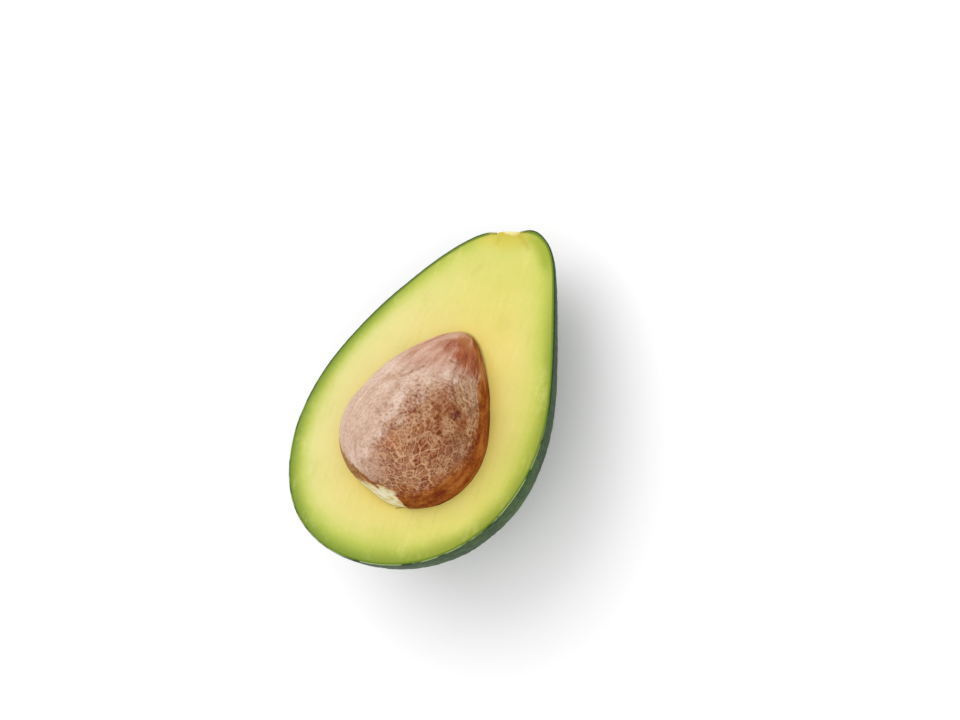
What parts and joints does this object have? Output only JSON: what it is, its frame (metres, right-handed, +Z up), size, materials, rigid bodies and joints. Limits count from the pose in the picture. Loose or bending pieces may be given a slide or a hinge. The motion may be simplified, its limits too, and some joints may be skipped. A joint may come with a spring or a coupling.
{
  "type": "avocado half with its stone",
  "caption": "Avocado cut lengthwise, lying on its back with the cut face up: thin pebbled skin, smooth flesh, and a rounded stone that stands out of the cut.",
  "frame": {"origin": "middle of the small flat spot on the back that the half rests on", "axes": "+Z up out of the cut face's side, +Y from the blossom end towards the stem end, +X across the fruit"},
  "size_m": [0.0753, 0.1067, 0.0574],
  "materials": {
    "skin": "dark green, pebbled, softly glossy on the outside",
    "flesh": "moist and smooth, golden by the stone, yellow further out and green under the skin",
    "stone": "dry papery coat, pinkish tan to red-brown with a fine pale net of veins"
  },
  "bodies": {
    "root": {"skin": "skin", "flesh": "flesh", "stone": "stone"}
  },
  "joints": []
}
